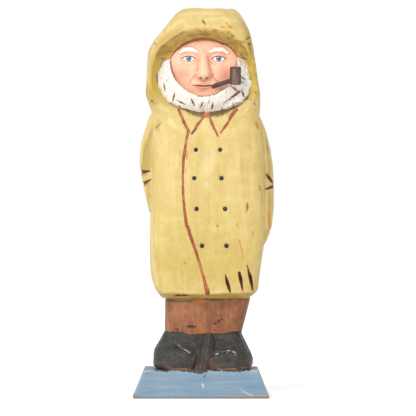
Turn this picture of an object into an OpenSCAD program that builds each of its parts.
// Carved wooden figurine of a bearded fisherman in a yellow hooded oilskin.
//
// The frame: millimetres, +Z up, the origin at the centre of the base's underside.
// The figure faces -Y, so +X is on the viewer's right, which is the figure's left side.
// The carving is built up from separate blocks on dowels, pinned to the base by two screws.

/* [Base] */
// Width of the base at the floor
base_w = 88.8; // [84:0.2:94]
// Depth of the base at the floor
base_d = 60; // [56:1:68]
// Height of the base's top
base_h = 18.5; // [17:0.5:18.5]
// How far each end of the base leans in
base_bevel_x = 7; // [4:0.5:7.5]
// How far the front and back of the base lean in
base_bevel_y = 5; // [3:0.5:5.5]

/* [Buttons] */
// Diameter of a button nail's head
button_d = 2.9; // [2.4:0.1:3.4]
// Height of a button nail's head
button_t = 0.9; // [0.7:0.1:1.2]
// Diameter of a button nail's shank
shank_d = 1.1; // [0.9:0.1:1.4]
// Length of a button nail's shank
shank_l = 8; // [5:0.5:10]

/* [Pipe] */
// Outside diameter of the pipe's bowl
bowl_d = 7.1; // [6.6:0.1:7.6]
// Height of the pipe's bowl
bowl_h = 11.6; // [10.5:0.1:13]
// Diameter of the bowl's chamber
chamber_d = 4.4; // [3.6:0.1:4.8]
// Depth of the bowl's chamber
chamber_h = 6.5; // [5:0.5:8]
// Diameter of the pipe's stem
stem_d = 2.3; // [2:0.1:2.6]

/* [Joinery] */
// Diameter of the dowel between the coat and the hood
neck_dowel_d = 9.5; // [8:0.5:10]
// Diameter of the two dowels between the trousers and the coat
hip_dowel_d = 6.4; // [6:0.1:7]
// Diameter of the two base screws
screw_d = 4; // [3.5:0.1:4.5]
// Diameter of a base screw's head
screw_head_d = 7.6; // [7:0.1:8.5]
// Overall length of a base screw
screw_l = 50; // [44:1:54]

/* [Hidden] */

ROUND = 48;          // facets round a turned piece
SECTION = 56;        // facets round a carved section
EPS = 0.01;

// Heights of the planes where one block stands on the next.
boot_top_z = 41.6;
trouser_top_z = 64.6;
coat_top_z = 186.4;

// Carved blocks are lofts through level sections. A section is
// [height, left x, right x, front y, back y, squareness], and squareness 2 is an ellipse.
coat_sections = [
    [trouser_top_z, -25.6, 34.4, -19.0, 17.5, 4.4],
    [67.8, -28.4, 37.6, -24.0, 20.8, 4.8],
    [71.0, -30.2, 38.2, -24.4, 21.2, 4.8],
    [78.0, -32.4, 38.9, -25.0, 21.6, 4.6],
    [86.0, -33.4, 39.6, -25.4, 22.0, 4.4],
    [97.0, -33.8, 41.4, -25.8, 22.4, 4.4],
    [106.0, -34.0, 42.6, -25.9, 22.6, 4.4],
    [116.0, -33.9, 42.8, -25.7, 22.6, 4.4],
    [130.0, -33.2, 42.6, -25.2, 22.6, 4.4],
    [148.0, -32.8, 42.2, -24.2, 22.2, 4.2],
    [163.0, -32.8, 41.4, -22.6, 21.4, 3.8],
    [173.0, -32.8, 40.4, -20.8, 20.2, 3.5],
    [180.0, -32.4, 39.0, -18.9, 19.0, 3.2],
    [184.6, -31.6, 37.4, -17.4, 17.8, 3.0],
    [coat_top_z, -31.0, 36.4, -16.8, 17.0, 3.0]];
sleeve_right_sections = [
    [117.0, -33.2, -20.0, -12.0, -3.0, 2.4],
    [122.6, -34.4, -20.0, -15.0, 0.4, 2.6],
    [128.0, -35.8, -20.0, -15.8, 3.2, 2.6],
    [136.8, -38.0, -20.0, -15.4, 6.2, 2.6],
    [147.8, -40.0, -20.0, -13.6, 10.6, 2.6],
    [157.0, -40.7, -20.0, -12.0, 12.0, 2.5],
    [166.0, -39.8, -20.0, -11.2, 12.2, 2.5],
    [173.5, -37.8, -20.0, -10.6, 11.8, 2.5],
    [180.0, -35.6, -20.0, -9.6, 10.8, 2.4],
    [184.6, -33.8, -20.0, -8.0, 9.2, 2.4],
    [coat_top_z - 0.2, -32.4, -20.0, -6.4, 7.6, 2.4]];
sleeve_left_sections = [
    [98.0, 28.0, 41.2, -11.0, -3.0, 2.4],
    [103.0, 28.0, 43.6, -14.0, -0.6, 2.4],
    [108.4, 28.0, 45.4, -15.6, 1.6, 2.6],
    [113.0, 28.0, 46.8, -16.0, 3.0, 2.6],
    [123.9, 28.0, 48.0, -15.8, 6.0, 2.6],
    [136.8, 28.0, 48.3, -14.4, 9.6, 2.6],
    [147.8, 28.0, 48.0, -12.8, 11.6, 2.6],
    [157.0, 28.0, 46.9, -11.8, 12.2, 2.5],
    [166.0, 28.0, 45.1, -11.0, 12.2, 2.5],
    [175.0, 28.0, 42.5, -10.2, 11.4, 2.5],
    [182.0, 28.0, 39.6, -8.8, 10.2, 2.4],
    [185.0, 28.0, 38.0, -7.4, 8.8, 2.4],
    [coat_top_z - 0.2, 28.0, 37.2, -6.4, 7.6, 2.4]];
trouser_sections = [
    [boot_top_z, -23.6, 26.4, -14.6, 13.6, 3.6],
    [48.0, -23.8, 28.0, -16.2, 14.6, 3.8],
    [56.0, -23.6, 30.0, -17.4, 15.4, 4.0],
    [trouser_top_z, -24.0, 32.2, -18.4, 16.4, 4.0]];
boot_right_sections = [
    [base_h, -30.4, 0.9, -24.4, 17.6, 3.2],
    [20.5, -31.4, 1.2, -25.2, 18.0, 3.0],
    [24.6, -31.7, 2.0, -25.0, 17.8, 2.8],
    [29.5, -30.8, 3.0, -23.0, 16.6, 2.8],
    [33.0, -29.0, 3.8, -19.8, 15.6, 3.0],
    [37.0, -26.6, 4.6, -16.8, 14.6, 3.4],
    [boot_top_z, -24.0, 5.2, -15.0, 13.9, 3.8]];
boot_left_sections = [
    [base_h, 1.1, 33.2, -24.2, 17.6, 3.2],
    [20.5, 1.4, 34.0, -25.0, 18.0, 3.0],
    [24.6, 2.2, 34.2, -24.8, 17.8, 2.8],
    [29.5, 3.2, 32.4, -22.8, 16.6, 2.8],
    [33.0, 4.0, 30.4, -19.6, 15.6, 3.0],
    [37.0, 4.8, 28.6, -16.8, 14.6, 3.4],
    [boot_top_z, 5.4, 26.8, -15.0, 13.9, 3.8]];
hood_sections = [
    [coat_top_z, -31.6, 37.4, -17.4, 20.0, 3.4],
    [189.0, -32.8, 38.4, -18.6, 21.4, 3.8],
    [195.2, -35.4, 39.5, -20.4, 23.6, 4.6],
    [201.2, -36.8, 39.3, -21.6, 24.8, 5.4],
    [208.0, -36.4, 38.0, -22.4, 25.4, 6.0],
    [214.7, -35.9, 36.9, -23.0, 25.4, 6.0],
    [221.0, -35.4, 35.8, -23.6, 25.0, 5.6],
    [227.0, -34.4, 35.0, -24.2, 24.2, 4.8],
    [232.7, -31.4, 33.8, -24.4, 22.8, 4.2],
    [239.5, -25.8, 31.8, -23.6, 20.6, 3.6],
    [245.5, -21.2, 29.0, -21.4, 17.6, 3.2],
    [250.6, -17.2, 26.0, -17.4, 14.2, 3.0],
    [253.6, -13.4, 23.2, -13.0, 10.4, 2.8],
    [255.2, -8.6, 19.2, -8.0, 6.0, 2.6]];

// The face opening is drawn in the front view, about the head's centre.
head_x = 1.8;
head_z = 211;
face_rx = 24.6;
face_rz = 24.2;
face_back_y = 1;
beard_rx = 30.8;
beard_rz = face_rz;
beard_tip_x = 26.2;   // half the distance between the beard's two tips
beard_tip_z = 222.4;
beard_side_x = 29.9;  // where each tip starts to narrow
beard_side_z = 214;
beard_inner_rx = 22.2;
beard_inner_rz = 23;
beard_inner_z = 219.4;
groove_w = 2.4;       // width of the cut between the legs
groove_x = 5.5;       // where the legs part

// The hood's edge is bevelled in to the face, from this outline at its front.
rim_x = 0.6;
rim_z = 208;
rim_rx = 37.5;
rim_rz = 36;
rim_square = 2.25;
rim_front_y = -26;
rim_back_y = -13;
// The hood's back corners are cut off. Each number is x + y, or y - x, along a corner's face.
hood_corner_left = 50;
hood_corner_right = 47;

// Buttons: one height for each row, and one place across for each nail.
button_z = [161.5, 143.0, 123.0, 99.0];
button_x_right = [-3.3, -4.4, -2.9, 0.7];
button_x_left = [12.5, 13.3, 15.7, 16.6];
button_colour = [0.11, 0.13, 0.16];
spot_depth = 0.35;    // how deep the flat under a button's head is cut
spot_margin = 0.15;

// The pipe: the corner of the mouth where the stem goes in, and the bowl's foot.
mouth_x = head_x + 6.2;
mouth_y = -17.2;
mouth_z = 202.9;
stem_in = 4;
stem_end = [20.4, -27.2, 206.6];
bowl_foot = [22.4, -27.6, 203.6];

// Dowels and screws.
dowel_y = 8;
neck_dowel_z = 172;
neck_dowel_l = 30;
hip_dowel_z = 54;
hip_dowel_l = 24;
hip_dowel_x = [-14, 22];
screw_x = [-14, 20];
screw_y = -2;
screw_sink = 1;       // how far a screw's head lies above the base's underside
screw_head_h = 3;
slot_w = 1;
slot_h = 1;

function side(i) = i == 0 ? "right" : "left";
function signed_pow(v, p) = sign(v) * pow(abs(v), p);
function section_ring(s, n) = let(
        cx = (s[1] + s[2]) / 2,
        cy = (s[3] + s[4]) / 2,
        hx = (s[2] - s[1]) / 2,
        hy = (s[4] - s[3]) / 2)
    [for (i = [0 : n - 1]) let(a = 360 * i / n)
        [cx + hx * signed_pow(cos(a), 2 / s[5]), cy + hy * signed_pow(sin(a), 2 / s[5]), s[0]]];
function column(sections, k) = [for (s = sections) [s[0], s[k]]];
function section_at(sections, z) = [z, for (k = [1 : 5]) lookup(z, column(sections, k))];
// The y of a block's front surface at a place in the front view.
function front_y(sections, x, z) = let(
        s = section_at(sections, z),
        cx = (s[1] + s[2]) / 2,
        cy = (s[3] + s[4]) / 2,
        across = abs((x - cx) / ((s[2] - s[1]) / 2)))
    cy - (s[4] - s[3]) / 2 * pow(1 - pow(across, s[5]), 1 / s[5]);

module loft(sections, n = SECTION) {
    count = len(sections);
    points = [for (s = sections) each section_ring(s, n)];
    foot = [for (i = [0 : n - 1]) i];
    top = [for (i = [n - 1 : -1 : 0]) (count - 1) * n + i];
    sides = [for (k = [0 : count - 2]) for (i = [0 : n - 1]) let(
            a = k * n + i,
            b = k * n + (i + 1) % n)
        each [[a, a + n, b + n], [a, b + n, b]]];
    polyhedron(points = points, faces = concat([foot], sides, [top]), convexity = 6);
}

// Turns an outline of the front view into a block from y1 back to y2.
module from_front(y1, y2) {
    translate([0, y2, 0])
        rotate([90, 0, 0])
            linear_extrude(height = y2 - y1)
                children();
}

module ellipse(x, z, rx, rz) {
    translate([x, z])
        scale([rx, rz])
            circle(r = 1, $fn = SECTION);
}

module ellipsoid(centre, radii) {
    translate(centre)
        scale(radii)
            sphere(r = 1, $fn = ROUND);
}

module face_outline() {
    ellipse(head_x, head_z, face_rx, face_rz);
}

module beard_outline() {
    intersection() {
        ellipse(head_x, head_z, beard_rx, beard_rz);
        translate([head_x, 0])
            polygon([[-45, 150], [-45, beard_side_z - 10],
                [-beard_side_x, beard_side_z], [-beard_tip_x, beard_tip_z],
                [beard_tip_x, beard_tip_z], [beard_side_x, beard_side_z],
                [45, beard_side_z - 10], [45, 150]]);
    }
}

module rim_outline() {
    translate([rim_x, rim_z])
        polygon([for (i = [0 : SECTION - 1]) let(a = 360 * i / SECTION)
            [rim_rx * signed_pow(cos(a), 2 / rim_square),
                rim_rz * signed_pow(sin(a), 2 / rim_square)]]);
}

// The bevel from the hood's edge in to the face and the beard.
module rim_bevel() {
    hull() {
        from_front(rim_front_y, rim_front_y + 0.1)
            rim_outline();
        from_front(rim_back_y, rim_back_y + 0.1)
            pocket_outline();
    }
}

// The opening in the hood that the head and the beard fill.
module pocket_outline() {
    face_outline();
    beard_outline();
}

module base() {
    lip = 1.4;
    color([0.50, 0.63, 0.71])
        difference() {
            hull() {
                translate([-base_w / 2, -base_d / 2, 0])
                    cube([base_w, base_d, lip]);
                translate([-base_w / 2 + base_bevel_x, -base_d / 2 + base_bevel_y, 0])
                    cube([base_w - 2 * base_bevel_x, base_d - 2 * base_bevel_y, base_h]);
            }
            screw_holes();
        }
}

// The bores for both screws, from the countersinks in the base up into the trousers.
module screw_holes() {
    for (x = screw_x)
        translate([x, screw_y, 0]) {
            translate([0, 0, screw_sink])
                cylinder(d = screw_d, h = screw_l, $fn = ROUND);
            translate([0, 0, screw_sink])
                cylinder(d1 = screw_head_d, d2 = screw_d, h = screw_head_h, $fn = ROUND);
            translate([0, 0, -EPS])
                cylinder(d = screw_head_d, h = screw_sink + EPS, $fn = ROUND);
        }
}

module base_screw(i) {
    color([0.62, 0.60, 0.55])
        translate([screw_x[i], screw_y, screw_sink])
            difference() {
                union() {
                    cylinder(d = screw_d, h = screw_l, $fn = ROUND);
                    cylinder(d1 = screw_head_d, d2 = screw_d, h = screw_head_h, $fn = ROUND);
                }
                translate([-screw_head_d, -slot_w / 2, -EPS])
                    cube([2 * screw_head_d, slot_w, slot_h + EPS]);
            }
}

module boot(sections) {
    color([0.23, 0.22, 0.20])
        difference() {
            loft(sections);
            screw_holes();
        }
}

// One V cut down the trousers, along the column of front (3) or back (4) depths.
module leg_groove(face) {
    foot = trouser_sections[0];
    top = trouser_sections[len(trouser_sections) - 1];
    hull() {
        translate([groove_x, foot[face], foot[0] - 1])
            cylinder(d = groove_w, h = EPS, $fn = 4);
        translate([groove_x, top[face], top[0] + 1])
            cylinder(d = groove_w, h = EPS, $fn = 4);
    }
}

module trousers() {
    color([0.66, 0.40, 0.27])
        difference() {
            loft(trouser_sections);
            // The cut between the two legs, front and back.
            leg_groove(4);
            leg_groove(3);
            screw_holes();
            hip_dowel_bores();
        }
}

module hip_dowel_bores() {
    for (x = hip_dowel_x)
        translate([x, dowel_y, hip_dowel_z])
            cylinder(d = hip_dowel_d, h = hip_dowel_l, $fn = ROUND);
}

module hip_dowel(i) {
    color([0.85, 0.72, 0.52])
        translate([hip_dowel_x[i], dowel_y, hip_dowel_z])
            cylinder(d = hip_dowel_d, h = hip_dowel_l, $fn = ROUND);
}

module neck_dowel() {
    color([0.85, 0.72, 0.52])
        translate([head_x, dowel_y, neck_dowel_z])
            cylinder(d = neck_dowel_d, h = neck_dowel_l, $fn = ROUND);
}

function button_place(i, row) = let(
        x = i == 0 ? button_x_right[row] : button_x_left[row],
        z = button_z[row])
    [x, front_y(coat_sections, x, z) + spot_depth, z];

module coat() {
    color([0.88, 0.78, 0.46])
        difference() {
            loft(coat_sections);
            for (i = [0, 1])
                for (row = [0 : 3])
                    translate(button_place(i, row)) {
                        rotate([90, 0, 0])
                            cylinder(d = button_d + 2 * spot_margin, h = 4, $fn = ROUND);
                        rotate([-90, 0, 0])
                            cylinder(d = shank_d, h = shank_l, $fn = ROUND);
                    }
            hip_dowel_bores();
            translate([head_x, dowel_y, neck_dowel_z])
                cylinder(d = neck_dowel_d, h = neck_dowel_l, $fn = ROUND);
        }
}

// A nail: a domed head that sits on the flat in the coat, and a plain shank.
module button(i, row) {
    dome_r = (pow(button_d / 2, 2) + pow(button_t, 2)) / (2 * button_t);
    color(button_colour)
        translate(button_place(i, row)) {
            rotate([90, 0, 0])
                intersection() {
                    cylinder(d = button_d, h = button_t, $fn = ROUND);
                    translate([0, 0, button_t - dome_r])
                        sphere(r = dome_r, $fn = ROUND);
                }
            rotate([-90, 0, 0])
                cylinder(d = shank_d, h = shank_l, $fn = ROUND);
        }
}

module sleeve(sections) {
    color([0.86, 0.75, 0.43])
        difference() {
            loft(sections, 40);
            loft(coat_sections);
        }
}

module hood() {
    color([0.88, 0.78, 0.46])
        difference() {
            intersection() {
                loft(hood_sections);
                linear_extrude(height = 300)
                    polygon([[-60, -40], [60, -40], [60, hood_corner_left - 60],
                        [hood_corner_left - 30, 30], [30 - hood_corner_right, 30],
                        [-60, hood_corner_right - 60]]);
            }
            // The pocket that the head and the beard are glued into.
            from_front(-40, face_back_y)
                pocket_outline();
            rim_bevel();
            translate([head_x, dowel_y, neck_dowel_z])
                cylinder(d = neck_dowel_d, h = neck_dowel_l, $fn = ROUND);
        }
}

// The beard's band in the front view, from one ear under the chin to the other.
module beard_band() {
    difference() {
        beard_outline();
        ellipse(head_x, beard_inner_z, beard_inner_rx, beard_inner_rz);
    }
}

module beard() {
    color([0.88, 0.86, 0.80])
        intersection() {
            from_front(-34, face_back_y)
                beard_band();
            ellipsoid([head_x, 1, 207], [33.6, 26.8, 26.6]);
        }
}

module head() {
    color([0.93, 0.70, 0.58])
        difference() {
            union() {
                intersection() {
                    from_front(-34, face_back_y)
                        difference() {
                            pocket_outline();
                            beard_band();
                        }
                    ellipsoid([head_x, 1, head_z + 1], [33, 19.6, 29]);
                }
                // The nose: a ridge from between the brows down to a round tip.
                hull() {
                    translate([head_x, -17.2, 222])
                        sphere(r = 2, $fn = 24);
                    translate([head_x, -20.4, 211.6])
                        sphere(r = 3.6, $fn = 24);
                }
            }
            stem_line(stem_d);
        }
}

// The stem's own cylinder, from its tenon in the mouth to the bowl.
module stem_line(d) {
    run = stem_end - [mouth_x, mouth_y, mouth_z];
    length = norm(run);
    yaw = atan2(run[1], run[0]);
    tilt = acos(run[2] / length);
    translate([mouth_x, mouth_y, mouth_z])
        rotate([0, tilt, yaw])
            translate([0, 0, -stem_in])
                cylinder(d = d, h = stem_in + length, $fn = ROUND);
}

module pipe_stem() {
    color([0.33, 0.19, 0.15])
        difference() {
            stem_line(stem_d);
            translate(bowl_foot)
                cylinder(d = bowl_d, h = bowl_h, $fn = ROUND);
        }
}

module pipe_bowl() {
    color([0.38, 0.27, 0.22])
        translate(bowl_foot)
            difference() {
                cylinder(d = bowl_d, h = bowl_h, $fn = ROUND);
                translate([0, 0, bowl_h - chamber_h])
                    cylinder(d = chamber_d, h = chamber_h + EPS, $fn = ROUND);
            }
}

base();
base_screw(0);  // base_screw_right
base_screw(1);  // base_screw_left
boot(boot_right_sections);  // boot_right
boot(boot_left_sections);  // boot_left
trousers();
hip_dowel(0);  // hip_dowel_right
hip_dowel(1);  // hip_dowel_left
coat();
sleeve(sleeve_right_sections);  // sleeve_right
sleeve(sleeve_left_sections);  // sleeve_left
for (i = [0, 1])
    for (row = [0 : 3])
        button(i, row);
neck_dowel();
hood();
head();
beard();
pipe_stem();
pipe_bowl();
